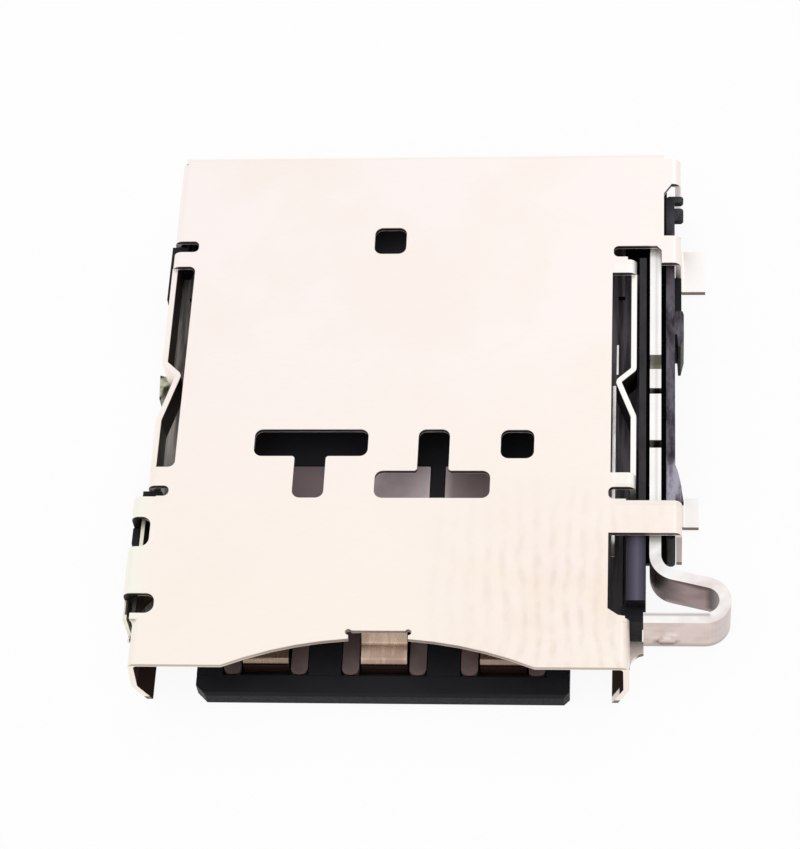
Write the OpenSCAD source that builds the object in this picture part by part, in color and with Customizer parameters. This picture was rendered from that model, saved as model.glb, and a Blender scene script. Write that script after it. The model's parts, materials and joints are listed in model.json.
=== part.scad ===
// Nano SIM card socket for a tray, with a push rod that ejects the tray through a lever.
// The origin is on the board plane, on the card's centre line, halfway along the shell.
// +X is to the right seen from the mouth, +Y is the way the tray goes in, +Z is up.
// Every place named ..._y is measured from the front edge of the shell.

/* [Shell] */
// Depth of the shell from its mouth to its back
shell_l = 13.54; // [13.4:0.02:13.8]
// Width of the shell over its two side walls
shell_w = 10.66; // [10.6:0.02:10.76]
// Height of the socket over the board
height = 1.4; // [1.38:0.01:1.5]
// Thickness of the stainless sheet
sheet_t = 0.12; // [0.1:0.01:0.14]
// Bend radius of the sheet at its middle plane
bend_r = 0.13; // [0.1:0.01:0.16]
// Front edge of the sheet between the front legs
sheet_y = 0.12; // [0.08:0.01:0.2]
// Length of the front legs
leg_l = 1.2; // [1:0.05:1.25]
// How far the left front leg stands out past the side wall
leg_left_out = 0.03; // [0:0.01:0.05]
// How far the right front leg stands in from the side wall
leg_right_in = 0.12; // [0.1:0.01:0.14]
// Height at which a front leg starts to slant in
knee_z = 0.6; // [0.55:0.01:0.65]
// How far the tip of a front leg stands in from its upper part
leg_slant = 0.25; // [0.2:0.01:0.28]

/* [Mouth] */
// Radius of the finger cut-out in the front edge
mouth_r = 8.6; // [8:0.05:9]
// Middle of the finger cut-out, across
mouth_x = -0.06; // [-0.1:0.01:0]
// Depth of the finger cut-out
mouth_depth = 0.78; // [0.6:0.01:0.85]
// Width of the deeper notch in its middle
notch_w = 1.27; // [1:0.01:1.5]
// Depth of that notch
notch_depth = 0.95; // [0.9:0.01:1.1]
// Radius of the relief at each corner of the notch
relief_r = 0.07; // [0.05:0.01:0.1]

/* [Openings in the top] */
// Corner radius of the openings
hole_r = 0.18; // [0.1:0.01:0.25]
// Side of the two square holes
hole_w = 0.73; // [0.6:0.01:0.8]
// Middle of the rear square hole, across
hole1_x = -0.31; // [-0.5:0.01:0.5]
// Middle of the rear square hole, from the front
hole1_y = 11.05; // [10.9:0.05:11.3]
// Middle of the side square hole, across
hole2_x = 2.75; // [2.7:0.01:3]
// Middle of the side square hole, from the front
hole2_y = 5.57; // [5.4:0.01:5.7]
// Length of the bar of each T slot
tee_w = 2.52; // [2.4:0.01:2.6]
// Width of the bar and the stem of a T slot
tee_t = 0.69; // [0.6:0.01:0.74]
// Height of a T slot over bar and stem
tee_h = 1.75; // [1.6:0.01:1.8]
// Middle of the left T slot's bar, across
tee1_x = -1.79; // [-1.9:0.01:-1.7]
// Middle of the right T slot's bar, across
tee2_x = 0.92; // [0.85:0.01:1]
// Front edge of both T slots
tee_y = 4.2; // [4.1:0.01:4.3]

/* [Tray springs] */
// How far the side slots reach in from the shell's side
slot_w = 0.55; // [0.48:0.01:0.62]
// Front end of the right side slot
slot_y = 4.85; // [4.8:0.01:5]
// Front end of the left side slot
slot_left_y = 4.98; // [4.9:0.01:5]
// Corner radius of the left side slot
slot_r = 0.15; // [0.1:0.01:0.2]
// Back end of the left side slot, from the shell's back
slot_left_back = 3.18; // [3:0.01:3.3]
// Back end of the right side slot, from the shell's back
slot_right_back = 3.41; // [3.2:0.01:3.5]
// Length along the edge of the tab that carries each end of a spring
tab_l = 0.36; // [0.3:0.01:0.42]
// Width of the slits beyond the tabs
slit_w = 0.3; // [0.26:0.01:0.34]
// Width of the slit behind the left spring
slit_left_w = 0.3; // [0.26:0.01:0.34]
// Lower edge of the spring strips
spring_z = 0.52; // [0.5:0.01:0.7]
// Where the right spring's bump has its tip
bump_y = 7.28; // [7:0.01:7.4]
// Where the left spring's bump has its tip
bump_left_y = 7.47; // [7.4:0.01:7.5]
// How far the bumps stand in
bump_h = 0.34; // [0.25:0.01:0.4]
// Length of the front slope of the right and the left bump
bump_slope = [0.92, 1.2];

/* [Left wing] */
// How far the wing that covers the detect switch stands out from the shell's side
wing_out = 0.29; // [0.27:0.01:0.35]
// Back end of the wing
wing_end = 4.22; // [4.18:0.01:4.26]
// Front and back of the front notch
wing_notch_b = [1.34, 1.82];
// Front and back of the rear notch
wing_notch_a = [2.97, 3.71];

/* [Straps over the rod] */
// Front edge of the front strap
strap_y = 3.35; // [3.3:0.01:3.4]
// Width of the front strap
strap_w = 0.8; // [0.7:0.01:0.84]
// Front edge of the rear strap, from the shell's back
rear_strap_back = 3.14; // [3.05:0.01:3.18]
// Width of the rear strap
rear_strap_w = 0.75; // [0.7:0.01:0.8]
// How far the front solder flange reaches out from its strap
flange_w = 0.37; // [0.35:0.01:0.6]
// How far the rear solder flanges reach out
rear_flange_w = 0.56; // [0.5:0.01:0.8]

/* [Base] */
// Thickness of the moulded floor
floor_t = 0.4; // [0.4:0.01:0.44]
// Width of the front bar
bar_w = 7.97; // [7.9:0.01:8.05]
// Middle of the front bar, across
bar_x = -0.035; // [-0.06:0.005:0]
// Depth of the front bar
bar_l = 0.4; // [0.36:0.01:0.4]
// How far the front bar stands out before the front legs
bar_out = 0.07; // [0.03:0.01:0.1]
// Height of the front bar
bar_h = 0.38; // [0.32:0.01:0.4]
// Chamfer on the front bar's left corner
bar_chamfer = 0.22; // [0.1:0.01:0.3]
// Chamfer on the front bar's right corner
bar_chamfer_right = 0.12; // [0.06:0.01:0.2]
// Bevel along the front bar's top edge
bar_bevel = 0.06; // [0.03:0.01:0.1]
// How far the sides of the tray's channel stand in from the shell's sides
tray_inset = 0.28; // [0.25:0.01:0.33]
// Thickness of the base's wall beyond the rod
outer_wall_t = 0.195; // [0.18:0.005:0.25]
// Thickness of the base's back wall
back_wall_t = 0.2; // [0.15:0.01:0.22]
// How far the bulges on the outer wall stand out
bulge_out = 0.2; // [0.16:0.01:0.22]
// Thickness of the moulding left under the contact wells
well_t = 0.08; // [0.06:0.01:0.09]

/* [Contacts] */
// Spacing of the contacts across the card
pitch = 2.54; // [2.5:0.01:2.56]
// Spacing of the two rows of contacts
row_pitch = 7.62; // [7.6:0.01:7.64]
// Where the front row touches the card
tip_y = 1.5; // [1.48:0.01:1.52]
// Thickness of the contact sheet
contact_t = 0.12; // [0.1:0.01:0.13]
// Width of the spring tongue
tongue_w = 0.98; // [0.9:0.01:1]
// Width over the two rails
rails_w = 1.8; // [1.76:0.01:1.84]
// Gap between the tongue and a rail
rail_gap = 0.05; // [0.04:0.01:0.06]
// Height of the tongue's crest over the board
crest_z = 0.9; // [0.8:0.01:1]
// Width of the solder tail
tail_w = 0.6; // [0.5:0.01:0.7]

/* [Detect switch] */
// Thickness of the switch blades
blade_t = 0.08; // [0.06:0.01:0.1]
// Middle of the spring blade, out from the shell's side
blade_out = 0.05; // [0.03:0.01:0.07]
// Distance of the fixed terminal from the spring blade, middle to middle
switch_gap = 0.19; // [0.17:0.01:0.22]

/* [Push rod] */
// Middle of the rod's straight part, out from the shell's side
rod_out = 0.42; // [0.41:0.01:0.43]
// Thickness of the rod's strip
rod_t = 0.25; // [0.2:0.01:0.26]
// Height of the rod's strip
rod_h = 1.05; // [0.95:0.01:1.06]
// Lower edge of the rod's strip
rod_z = 0.15; // [0.14:0.01:0.2]
// Front face of the press pad with the rod pushed in
pad_y = 1.28; // [1.25:0.01:1.32]
// How far the press pad reaches in past the rod's middle
pad_in = 0.25; // [0.2:0.01:0.26]
// Radius of the dimple on the press pad
dimple_r = 0.23; // [0.2:0.01:0.24]
// Width of the loop from the rod's middle to its outer face
loop_w = 1.6; // [1.55:0.01:1.75]
// Radius of the loop's bend at its middle plane
loop_r = 0.43; // [0.4:0.01:0.46]
// Slope of the loop's rear run
run_angle = 14; // [10:1:16]
// Radius of the bend from the rod into the loop
rod_bend_r = 0.5; // [0.45:0.01:0.55]
// How far the rod travels
rod_travel = 1.2; // [1:0.05:1.2]
// Depth of the notches in the rod's top edge
rod_notch = 0.4; // [0.3:0.01:0.45]

/* [Eject lever] */
// Distance of the pivot from the rod's middle
short_arm = 1.85; // [1.8:0.01:1.9]
// Distance of the pivot from the shell's back
pivot_back = 1.29; // [1.28:0.01:1.34]
// Thickness of the lever
lever_t = 0.34; // [0.3:0.01:0.36]
// Radius of the moulded pivot
pivot_r = 0.4; // [0.35:0.01:0.45]
// Radius of the lever's hub
hub_r = 0.72; // [0.7:0.01:0.8]
// Length of the arm that pushes the tray
arm_l = 3.3; // [3:0.05:3.4]
// Width of the lever's arms
arm_w = 0.44; // [0.36:0.01:0.5]
// Radius of the nose that the rod pushes
nose_r = 0.18; // [0.15:0.01:0.2]
// How far the long arm is bent forward
arm_bend = 8; // [4:1:9]

/* [Fits] */
// Clearance round a moulded or stamped piece in its pocket
fit = 0.02; // [0.01:0.005:0.03]
// Running clearance of the lever on its pivot, on the radius
pivot_fit = 0.03; // [0.02:0.005:0.05]
// Clearance between moving pieces and what guides them
slide_fit = 0.08; // [0.05:0.01:0.1]

/* [Hidden] */
$fn = 48;
eps = 0.02;
wall_x = shell_w / 2;
slot_x = wall_x - slot_w;
tray_x = wall_x - tray_inset;
trench_x = tray_x - 0.15;
wing_x = wall_x + wing_out;
blade_x = wall_x + blade_out;
terminal_x = blade_x + switch_gap;
rod_x = wall_x + rod_out;
loop_x = rod_x + loop_w;
pad_x = rod_x - pad_in;
leg_x = [wall_x + leg_left_out, wall_x - leg_right_in];
leg_end = [leg_l, leg_l + 0.1];
ear_x = wall_x + 0.17;
plate_z = height - sheet_t;
mid_z = height - sheet_t / 2;
fold_back = bend_r + sheet_t / 2 + 0.02;
trench_z = 0.25;
channel_z = rod_z - slide_fit / 2 - 0.01;
rim_z = plate_z - slide_fit;
rod_top = rod_z + rod_h;
plate_end = shell_l - fold_back;
back_y = shell_l - sheet_t - fit;

// Walls that the rod runs between, each as its inner and outer face
inner_wall_x = [wall_x + 0.06, rod_x - rod_t / 2 - slide_fit];
outer_wall_x = [0, outer_wall_t] + [1, 1] * (rod_x + rod_t / 2 + slide_fit + 0.03);
strap_x = outer_wall_x[1] + fit + sheet_t;

// Back ends of the side slots
slot_left_end = shell_l - slot_left_back;
slot_right_end = shell_l - slot_right_back;
rear_strap_y = shell_l - rear_strap_back;

// Slits beyond the spring tabs, each as its front and back edge
slit_front = [slot_y - tab_l - slit_w, slot_y - tab_l];
slit_front_left = [wing_end + 0.02, wing_end + 0.28];
slit_left = [slot_left_end + tab_l + 0.05, slot_left_end + tab_l + 0.05 + slit_left_w];
slit_right = [slot_right_end + tab_l + 0.08, slot_right_end + tab_l + 0.08 + slit_w];
slit_end_x = rod_x;

// Outer edge of the top over the rod, and the slanted corner behind the rear strap
cover_x = rod_x + rod_t / 2 + 0.06;
corner_cut = [shell_l - 1.18, shell_l - 0.92];

// Each strap with the solder flange beside it, as front and back edges
strap_span = [strap_y, strap_y + strap_w];
rear_span = [rear_strap_y, rear_strap_y + rear_strap_w];
flange_span = [strap_span[1] + 0.07, strap_span[1] + 0.8];
rear_flange_span = [rear_strap_y + 0.07, rear_strap_y + 1.2];

// Wall beyond the rod: its ends, the ramp behind the front strap, the hump and the low ledge
// before the rear strap, and the two teeth behind it
rail_wall_span = [3.3, shell_l - 1.14];
ramp_span = [strap_span[1] + 0.08, strap_span[1] + 1.08];
hump_span = [rear_strap_y - 1.82, rear_strap_y - 1.2];
ledge_span = [hump_span[1], rear_strap_y - 0.05];
teeth = [[rail_wall_span[1] - 0.68, rail_wall_span[1] - 0.34], [rail_wall_span[1] - 0.17, rail_wall_span[1]]];
teeth_z = rim_z - 0.15;
ledge_z = 0.85;
hook_l = 0.33;
flange_wall_z = floor_t + 0.3;

// Rib inside the rod, and the lower step before it
rib_y = leg_l + 0.62;
rib_step_z = 0.9;

// Notches in the rod's top edge, as front and back edges
rod_notches = [[5.6, 5.8], [7.0, 7.15], [7.65, 8.03]];

// Strip bent from a path of [x, y, bend radius at the middle plane]
function unit(v) = v / norm(v);
function left_of(v) = [-v[1], v[0]];
function spun(v, a) = [v[0] * cos(a) - v[1] * sin(a), v[0] * sin(a) + v[1] * cos(a)];
function turn(u, v) = atan2(u[0] * v[1] - u[1] * v[0], u * v);
function xy(p) = [p[0], p[1]];
function bend(p, q, n, d) =
    let (u = unit(xy(q) - xy(p)), v = unit(xy(n) - xy(q)), a = turn(u, v), s = sign(a))
    let (r = q[2], c = xy(q) - u * r * tan(abs(a) / 2) + left_of(u) * r * s)
    let (steps = max(2, ceil(abs(a) / 9)))
    [for (k = [0:steps]) c + spun(-left_of(u) * s, a * k / steps) * (r - s * d)];
function edge(path, d) =
    let (last = len(path) - 1)
    let (u0 = unit(xy(path[1]) - xy(path[0])), u1 = unit(xy(path[last]) - xy(path[last - 1])))
    concat([xy(path[0]) + left_of(u0) * d],
           [for (i = [1:1:last - 1]) each bend(path[i - 1], path[i], path[i + 1], d)],
           [xy(path[last]) + left_of(u1) * d]);
function reversed(list) = [for (i = [len(list) - 1:-1:0]) list[i]];

module strip(path, t) polygon(concat(edge(path, t / 2), reversed(edge(path, -t / 2))));

// Draws in the socket's own frame what is measured from the front edge
module from_front() translate([0, -shell_l / 2, 0]) children();

// Extrudes a section drawn in X and Z from one Y to another
module along_y(y0, y1) translate([0, y1, 0]) rotate([90, 0, 0]) linear_extrude(y1 - y0) children();

// Extrudes a section drawn in Y and Z over a width about X = 0
module across_x(w) rotate([90, 0, 90]) translate([0, 0, -w / 2]) linear_extrude(w) children();

module block(x, y, z) translate([x[0], y[0], z[0]]) cube([x[1] - x[0], y[1] - y[0], z[1] - z[0]]);

module rounded(x, y, r) {
    translate([x[0] + r, y[0]]) square([x[1] - x[0] - 2 * r, y[1] - y[0]]);
    translate([x[0], y[0] + r]) square([x[1] - x[0], y[1] - y[0] - 2 * r]);
    for (cx = [x[0] + r, x[1] - r], cy = [y[0] + r, y[1] - r]) translate([cx, cy]) circle(r);
}

// Shell

// Fills the inner corner between a T slot's bar and stem
module fillet_corner(r) difference() {
    square(r + eps);
    translate([r + eps, r + eps]) circle(r + eps);
}

module tee(x, stem_x) {
    bar_y = tee_y + tee_h - tee_t;
    fillet_r = 0.12;
    rounded([x - tee_w / 2, x + tee_w / 2], [bar_y, bar_y + tee_t], hole_r);
    rounded([stem_x - tee_t / 2, stem_x + tee_t / 2], [tee_y, bar_y + tee_t], hole_r);
    translate([stem_x + tee_t / 2 - eps, bar_y + eps]) mirror([0, 1]) fillet_corner(fillet_r);
    translate([stem_x - tee_t / 2 + eps, bar_y + eps]) rotate(180) fillet_corner(fillet_r);
}

module top_openings() {
    for (h = [[hole1_x, hole1_y], [hole2_x, hole2_y]])
        rounded([h[0] - hole_w / 2, h[0] + hole_w / 2], [h[1] - hole_w / 2, h[1] + hole_w / 2], hole_r);
    tee(tee1_x, tee1_x);
    translate([0, 2 * tee_y + tee_h]) mirror([0, 1]) tee(tee2_x, tee2_x);
}

module finger_cutout() translate([mouth_x, 0]) {
    translate([0, mouth_depth - mouth_r]) circle(mouth_r, $fn = 240);
    translate([-notch_w / 2, -1]) square([notch_w, 1 + notch_depth]);
    for (side = [-1, 1]) translate([side * notch_w / 2, notch_depth - relief_r / 2]) circle(relief_r);
}

// The flat sheet, out to where the folded edges take over
module plate_outline() difference() {
    inner_x = wall_x - fold_back;
    strap_edge = strap_x - fold_back;
    union() {
        translate([-inner_x, leg_l]) square([2 * inner_x, plate_end - leg_l]);
        translate([-leg_x[0] + fold_back, sheet_y])
            square([leg_x[0] + leg_x[1] - 2 * fold_back, leg_end[1] - sheet_y]);
        translate([-wing_x + fold_back, leg_l]) square([wing_x - fold_back, wing_end - leg_l]);
        translate([0, strap_y]) square([strap_edge, strap_w]);
        translate([0, slit_right[1]]) square([cover_x, plate_end - slit_right[1]]);
        // Rear strap, and the corner behind it
        polygon([[cover_x - 0.05, rear_span[0]], [strap_edge, rear_span[0]], [strap_edge, rear_span[1]],
                 [cover_x, rear_span[1]], [cover_x, corner_cut[0]], [strap_edge, corner_cut[1]],
                 [strap_edge, plate_end], [wall_x, plate_end], [wall_x, slit_right[1]],
                 [cover_x - 0.16, slit_right[1]], [cover_x - 0.05, slit_right[1] - 0.12]]);
    }
    finger_cutout();
    top_openings();
    // Side slots that the springs stand in, and the slits beyond their tabs
    rounded([-wall_x - 1, -slot_x], [slot_left_y, slot_left_end], slot_r);
    translate([slot_x, slot_y]) square([wall_x - slot_x, slot_right_end - slot_y]);
    slit_r = 0.4 * slit_w;
    rounded([-wall_x - 1, -slot_x - 0.07], slit_front_left, slit_r);
    rounded([-wall_x - 1, -slot_x + 0.03], slit_left, slit_r);
    rounded([slot_x - 0.04, slit_end_x], slit_front, slit_r);
    rounded([slot_x + 0.02, slit_end_x], slit_right, slit_r);
    // Open corner over the base's front block
    corner_x = slot_x - 0.03;
    polygon([[corner_x, leg_end[1] + 0.22], [corner_x + 0.22, leg_end[1] + 0.06], [wall_x, leg_end[1]],
             [wall_x, strap_y], [corner_x, strap_y]]);
    // Notches over the detect switch
    notch_r = 0.2;
    rounded([-wing_x - 1, -wing_x + 0.71], wing_notch_b, notch_r);
    rounded([-wing_x + 0.01, -wing_x + 0.45], wing_notch_a, notch_r);
}

// Sheet folded down at an outer face
function fold_top(x) = [[x - fold_back - eps, mid_z, 0], [x - sheet_t / 2, mid_z, bend_r]];

module fold_section(x, bottom) strip(concat(fold_top(x), [[x - sheet_t / 2, bottom, 0]]), sheet_t);

module fold(side, x, y0, y1, bottom = 0)
    mirror([side < 0 ? 1 : 0, 0, 0]) along_y(y0, y1) fold_section(x, bottom);

// Front part of a leg: it slants in below the knee, and its front edge leans back to the sheet
module slanted_leg(side, x, y1) mirror([side < 0 ? 1 : 0, 0, 0]) difference() {
    past = 1.2;
    knee = [x - sheet_t / 2, knee_z, bend_r];
    tip = [knee[0] - past * leg_slant, (1 - past) * knee_z, 0];
    along_y(0, y1) strip(concat(fold_top(x), [knee, tip]), sheet_t);
    translate([x, 0, 0]) across_x(2)
        polygon([[-1, knee_z], [0, knee_z], [sheet_y, plate_z], [sheet_y, height + 1], [-1, height + 1]]);
    block([x - 1, x + 1], [-1, y1 + 1], [-1, 0]);
}

module front_legs() {
    slant_end = leg_l - 0.4;
    for (i = [0, 1]) {
        slanted_leg(2 * i - 1, leg_x[i], slant_end);
        fold(2 * i - 1, leg_x[i], slant_end - eps, leg_end[i]);
    }
    // Solder ear beside the right leg, with its concave front edge
    ear_r = 0.34;
    difference() {
        block([leg_x[1] - sheet_t, ear_x], [slant_end, leg_l + 0.2], [0, sheet_t]);
        translate([leg_x[1] + ear_r, slant_end - 0.02, -1]) cylinder(r = ear_r, h = 2);
    }
}

module tray_spring(side, front_tab, back_tab, tip, slope) {
    x = wall_x - sheet_t / 2;
    bump = [[x, back_tab[0] + eps, 0], [x, tip + 0.32, 0.1], [x - bump_h, tip, 0.1],
            [x, tip - slope, 0.2], [x, front_tab[1] - eps, 0]];
    for (y = [front_tab, back_tab]) fold(side, wall_x, y[0], y[1], bottom = spring_z);
    mirror([side < 0 ? 1 : 0, 0, 0]) translate([0, 0, spring_z])
        linear_extrude(plate_z - spring_z) strip(bump, sheet_t);
}

module solder_flange(x, y, reach)
    along_y(y[0], y[1]) strip([[x - sheet_t / 2, floor_t + 0.1, 0],
                               [x - sheet_t / 2, sheet_t / 2, bend_r], [x + reach, sheet_t / 2, 0]], sheet_t);

module wing() {
    for (y = [[wing_notch_b[1], wing_notch_a[0]], [wing_notch_a[1], wing_end]])
        fold(-1, wing_x, y[0], y[1], bottom = floor_t);
}

module straps() {
    for (y = [strap_span, rear_span, [corner_cut[1], plate_end]]) fold(1, strap_x, y[0], y[1]);
    solder_flange(strap_x, flange_span, flange_w);
    solder_flange(strap_x, rear_flange_span, rear_flange_w);
    // Lower wall that joins each flange to its strap
    for (y = [[strap_span[0], flange_span[1]], [rear_span[0], rear_flange_span[1]]])
        block([strap_x - sheet_t, strap_x], y, [floor_t, flange_wall_z]);
}

module shell() color([0.93, 0.89, 0.85]) from_front() {
    translate([0, 0, plate_z]) linear_extrude(sheet_t) plate_outline();
    front_legs();
    tray_spring(1, [slot_y - tab_l, slot_y], [slot_right_end, slot_right_end + tab_l],
                bump_y, bump_slope[0]);
    tray_spring(-1, [slit_front_left[1], slot_left_y], [slot_left_end, slit_left[0]],
                bump_left_y, bump_slope[1]);
    wing();
    straps();
    fold(-1, wall_x, slit_left[1], plate_end);
    // Back wall, folded down behind the base
    translate([-wall_x + 0.08, 0, 0]) rotate([90, 0, 90])
        linear_extrude(wall_x - 0.08 + cover_x) fold_section(shell_l, floor_t);
}

// Base

rail_z = [floor_t - 0.01 - contact_t, floor_t - 0.01];
root_front = [tip_y + 2.8, tip_y + 4.1];
rear_tip_y = tip_y + row_pitch;
root_rear = [rear_tip_y - 2.42, rear_tip_y - 2.0];
// How far each front root reaches left and right of its contact's centre
root_reach = [[1.0, 1.14], [1.06, 0.78], [1.42, 0.9]];
rail_end = 1.08;
tail_z = [rail_z[0] - contact_t - 0.03, rail_z[0] - 0.03];
strip_end = back_y - fit;
blade_y = [leg_l + 0.08, wing_end - 0.12];
root_l = 0.35;
foot_l = 0.45;
blade_z = [floor_t + 0.03, 1.15];
switch_y = [leg_l + 0.04, wing_end + 0.02];

// Open well under the tongue, and the ledges that the rails lie on
module window(x, y) {
    half = tongue_w / 2 + rail_gap;
    wide = rails_w / 2 + fit;
    block([x - half, x + half], y, [well_t, 1]);
    block([x - wide, x + wide], y, [rail_z[0] - 0.005, 1]);
}

module front_pockets(i) {
    x = (i - 1) * pitch;
    reach = root_reach[i];
    window(x, [tip_y - rail_end - fit, root_front[0] + 2 * fit]);
    block([x - reach[0] - fit, x + reach[1] + fit], [root_front[0] - fit, root_front[1] + fit],
          [rail_z[0] - 0.005, 1]);
    // Slot that the tail goes down through, and the recess that its foot lies in
    block([x - tail_w / 2 - fit, x + tail_w / 2 + fit],
          [root_front[1] - contact_t - fit, root_front[1] + fit], [-1, 1]);
    block([x - tail_w / 2 - fit, x + tail_w / 2 + fit],
          [root_front[1] - contact_t - fit, root_front[1] + 0.62], [-1, contact_t + fit]);
}

module rear_pockets(i) {
    x = (i - 1) * pitch;
    window(x, [root_rear[1] - fit, rear_tip_y + rail_end + 0.3 + fit]);
    block([x - rails_w / 2 - fit, x + rails_w / 2 + fit], [root_rear[0] - fit, root_rear[1] + fit],
          [rail_z[0] - 0.005, 1]);
    block([x - tail_w / 2 - fit, x + tail_w / 2 + fit], [rear_tip_y + rail_end, back_y + 1],
          [-1, tail_z[1] + fit]);
    block([x - tail_w / 2 - fit, x + tail_w / 2 + fit], [rear_tip_y + rail_end, rear_tip_y + rail_end + 0.56],
          [-1, 1]);
}

module floor_plan() {
    translate([bar_x - bar_w / 2, bar_l]) square([bar_w, 1.5]);
    translate([-trench_x, 0.95]) square([2 * trench_x, back_y - 0.95]);
    translate([-tray_x, leg_l + 0.06]) square([2 * tray_x, back_y - leg_l - 0.06]);
    translate([-wall_x + sheet_t + fit, slit_left[1]]) square([tray_inset, back_y - slit_left[1]]);
}

module front_bar() translate([bar_x, 0, 0]) difference() {
    half = bar_w / 2;
    linear_extrude(bar_h) polygon([
        [-half, bar_chamfer - bar_out], [-half + bar_chamfer, -bar_out], [half - bar_chamfer_right, -bar_out],
        [half, bar_chamfer_right - bar_out], [half, bar_l + eps], [-half, bar_l + eps]]);
    across_x(bar_w + 1) polygon([[-bar_out - 1, bar_h - bar_bevel - 1], [-bar_out + bar_bevel, bar_h],
                                 [-bar_out - 1, bar_h + 1]]);
}

// Walls on the right, which the push rod runs between
module rod_channel() {
    rib_x = [inner_wall_x[1] - 0.415, inner_wall_x[1]];
    wall = outer_wall_x[1];
    block([tray_x - eps, outer_wall_x[0] + eps], [rail_wall_span[0] + 0.02, back_y], [0, channel_z]);
    block(rib_x, [rib_y, slit_front[0] + 0.05], [0, rim_z]);
    block([tray_x - eps, rib_x[1]], [rib_y - 0.07, rib_y + eps], [0, rib_step_z]);
    block([tray_x - eps, pad_x - 0.03], [leg_l + 0.26, rib_y], [0, rib_step_z]);
    block(inner_wall_x, [slit_front[0] + 0.03, slit_right[0] + 0.1], [0, rim_z]);
    block([tray_x - eps, inner_wall_x[0] + eps], [leg_l + 0.5, slit_right[1]], [0, trench_z]);
    linear_extrude(rim_z) rounded(outer_wall_x, rail_wall_span, 0.09);
    // Hump with its small hook
    linear_extrude(rim_z) polygon([
        [wall - eps, hump_span[1]], [wall + bulge_out - 0.03, hump_span[1]],
        [wall + bulge_out, hump_span[1] - 0.1], [wall + bulge_out, hump_span[0]],
        [wall + 0.13, hump_span[0] - hook_l], [wall + 0.07, hump_span[0] - hook_l],
        [wall + 0.05, hump_span[0]], [wall - eps, hump_span[0]]]);
    block([wall - eps, wall + bulge_out - 0.05], ledge_span, [0, ledge_z]);
    // Ramp behind the front strap, above the shell's flange, and the teeth
    translate([0, 0, teeth_z]) linear_extrude(rim_z - teeth_z) {
        polygon([[wall - eps, ramp_span[1]], [wall + 0.06, ramp_span[1] - 0.25],
                 [wall + 0.11, ramp_span[1] - 0.5], [wall + bulge_out - 0.02, ramp_span[0]],
                 [wall - eps, ramp_span[0]]]);
        for (y = teeth) rounded([outer_wall_x[0] + 0.05, wall + bulge_out], y, 0.08);
    }
}

module left_walls() {
    // Posts in the slits beyond the left spring's tabs, and the thin rib along its rear end
    rib_x = [-wall_x - 0.07, -wall_x - 0.02];
    block([rib_x[0] - 0.05, -tray_x + eps], slit_front_left + [0.02, -0.03], [0, rim_z]);
    block([rib_x[0], -tray_x + eps], slit_left + [0.03, -0.03], [0, rim_z]);
    block(rib_x, [slit_left[0] - 1.2, slit_left[1] - 0.05], [0, rim_z]);
    // Floor below the left spring
    block([-wall_x + 0.06, -tray_x + eps], [wing_end, slit_left[1] - fit], [0, trench_z]);
    // Trough of the detect switch
    difference() {
        union() {
            block([-wing_x + sheet_t + fit, -tray_x + eps], switch_y, [0, trench_z]);
            block([-wing_x + 0.02, -wall_x], [wing_notch_b[0] - 0.06, wing_notch_b[1] + 0.1], [0, trench_z]);
        }
        block([-wing_x - 1, -blade_x + 0.3], [blade_y[0] - 0.03, blade_y[0] + 0.64], [-1, contact_t + fit]);
        block([-wing_x - 1, -blade_x + 0.3], [blade_y[1] - root_l - fit, blade_y[1] + fit], [-1, contact_t + fit]);
        block([-terminal_x - blade_t, -terminal_x + blade_t], [blade_y[0] + 0.04, blade_y[0] + 0.54], [-1, 1]);
        block([-blade_x - blade_t, -blade_x + blade_t], [blade_y[1] - root_l - fit, blade_y[1] + fit], [-1, 1]);
    }
    // Two cheeks that hold the root of the spring blade
    for (x = [[-blade_x - 0.12, -blade_x - blade_t / 2 - fit], [-blade_x + blade_t / 2 + fit, -tray_x]])
        block(x, [blade_y[1] - root_l, blade_y[1] + fit], [trench_z - eps, 0.95]);
}

module lever_seat() translate([pivot_x, pivot_y, 0]) {
    seat_z = plate_z - slide_fit - lever_t - 0.03;
    cylinder(r = hub_r - 0.05, h = seat_z);
    cylinder(r = pivot_r, h = plate_z - 0.02);
}

module base() color([0.12, 0.12, 0.14]) from_front() difference() {
    union() {
        front_bar();
        linear_extrude(floor_t) floor_plan();
        rod_channel();
        left_walls();
        lever_seat();
        block([-tray_x, cover_x], [back_y - back_wall_t, back_y], [0, rim_z]);
        block([-tray_x, cover_x], [back_y - back_wall_t, back_y - back_wall_t / 2], [0, plate_z]);
    }
    for (i = [0:2]) {
        front_pockets(i);
        rear_pockets(i);
    }
    // Trenches below the tray springs
    for (side = [-1, 1])
        translate([side * (trench_x + tray_x + eps) / 2, (slot_y + slot_left_end) / 2, trench_z + 0.5])
            cube([tray_x + eps - trench_x, slot_left_end - slot_y - 0.4, 1], center = true);
}

// Contacts

// Side view of the spring tongue, from its root forward; the card touches it at y = 0
tongue_path = [[2.9, rail_z[0] + contact_t / 2, 0], [2.5, rail_z[0] + contact_t / 2, 0.8],
               [0.12, crest_z + 0.06, 0.3], [-0.4, 0.56, 0.3], [-0.8, 0.47, 0.1], [-0.85, 0.14, 0]];
rear_tongue_path = [for (i = [0:5]) i == 0 ? [2.1, rail_z[0] + contact_t / 2, 0]
                                  : i == 1 ? [1.9, rail_z[0] + contact_t / 2, 0.6] : tongue_path[i]];

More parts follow.
